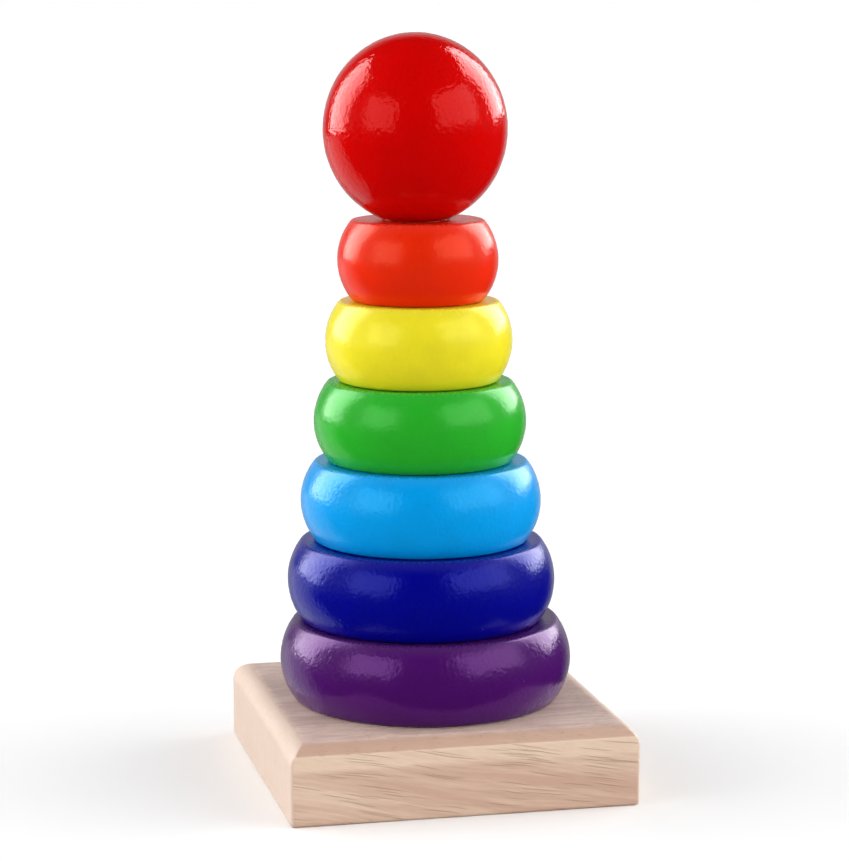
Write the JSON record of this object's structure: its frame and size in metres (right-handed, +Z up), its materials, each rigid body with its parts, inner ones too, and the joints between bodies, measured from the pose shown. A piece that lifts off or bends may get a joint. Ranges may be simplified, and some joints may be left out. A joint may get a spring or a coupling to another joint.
{
  "type": "ring stacking tower",
  "caption": "Wooden stacking puzzle: a square base with a peg, painted rings that lift off it in order of size, and a ball on top.",
  "frame": {"origin": "middle of the base's underside", "axes": "+Z up along the peg, +X along the base's side that runs with the grain"},
  "size_m": [0.065, 0.065, 0.14],
  "materials": {
    "base_wood": "sanded, unpainted",
    "peg_wood": "sanded, unpainted",
    "purple_paint": "gloss paint",
    "dark_blue_paint": "gloss paint",
    "light_blue_paint": "gloss paint",
    "green_paint": "gloss paint",
    "yellow_paint": "gloss paint",
    "orange_paint": "gloss paint",
    "red_paint": "gloss paint"
  },
  "bodies": {
    "stand": {"base": "base_wood", "peg": "peg_wood"},
    "purple_ring": {"purple_ring": "purple_paint"},
    "dark_blue_ring": {"dark_blue_ring": "dark_blue_paint"},
    "light_blue_ring": {"light_blue_ring": "light_blue_paint"},
    "green_ring": {"green_ring": "green_paint"},
    "yellow_ring": {"yellow_ring": "yellow_paint"},
    "orange_ring": {"orange_ring": "orange_paint"},
    "red_ball": {"red_ball": "red_paint"}
  },
  "joints": [
    {"name": "purple_ring_lift", "type": "slide", "parent": "stand", "child": "purple_ring", "axis": [0, 0, 1], "range_m": [0, 0.109]},
    {"name": "dark_blue_ring_lift", "type": "slide", "parent": "purple_ring", "child": "dark_blue_ring", "axis": [0, 0, 1], "range_m": [0, 0.094]},
    {"name": "light_blue_ring_lift", "type": "slide", "parent": "dark_blue_ring", "child": "light_blue_ring", "axis": [0, 0, 1], "range_m": [0, 0.079]},
    {"name": "green_ring_lift", "type": "slide", "parent": "light_blue_ring", "child": "green_ring", "axis": [0, 0, 1], "range_m": [0, 0.063]},
    {"name": "yellow_ring_lift", "type": "slide", "parent": "green_ring", "child": "yellow_ring", "axis": [0, 0, 1], "range_m": [0, 0.048]},
    {"name": "orange_ring_lift", "type": "slide", "parent": "yellow_ring", "child": "orange_ring", "axis": [0, 0, 1], "range_m": [0, 0.033]},
    {"name": "red_ball_lift", "type": "slide", "parent": "orange_ring", "child": "red_ball", "axis": [0, 0, 1], "range_m": [0, 0.018]}
  ]
}
